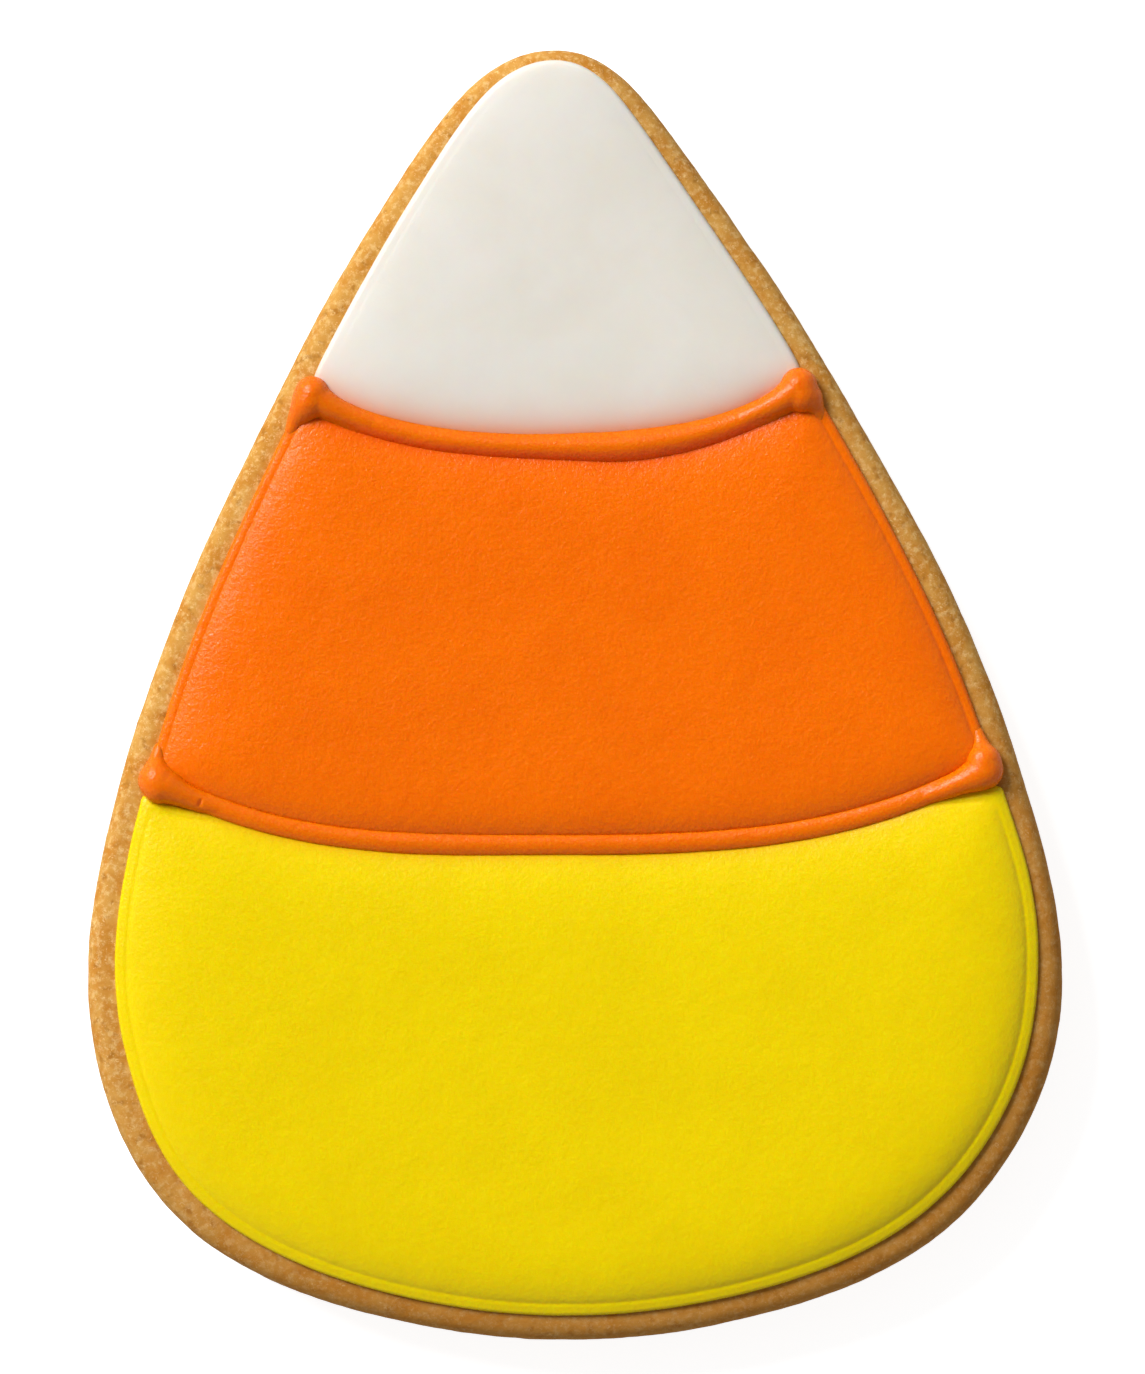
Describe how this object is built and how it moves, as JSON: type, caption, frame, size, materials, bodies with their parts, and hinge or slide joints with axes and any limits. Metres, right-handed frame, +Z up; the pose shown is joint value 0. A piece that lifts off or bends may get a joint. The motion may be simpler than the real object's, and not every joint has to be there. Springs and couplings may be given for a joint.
{
  "type": "iced sugar cookie",
  "caption": "Flat rounded-cone cookie with bands of white, orange and yellow icing and raised piped borders, made to be set out or stacked as food.",
  "frame": {"origin": "centre of the bounding box of the cookie's flat underside, at the surface it lies on", "axes": "+Z up out of the iced face, +Y from the wide base towards the narrow tip, +X to the right as the iced face is seen with its tip up"},
  "size_m": [0.0718, 0.095, 0.0096],
  "materials": {
    "baked_dough": "dry matte baked dough, golden tan with darker flecks and a browner edge",
    "white_icing": "satin set royal icing, warm off-white",
    "orange_icing": "satin set royal icing, strong orange, finely crystalline",
    "yellow_icing": "satin set royal icing, clear yellow",
    "orange_piping": "satin piped royal icing, strong orange"
  },
  "bodies": {
    "root": {"cookie": "baked_dough", "white_icing": "white_icing", "orange_icing": "orange_icing", "yellow_icing": "yellow_icing", "upper_border": "orange_piping", "lower_border": "orange_piping"}
  },
  "joints": []
}
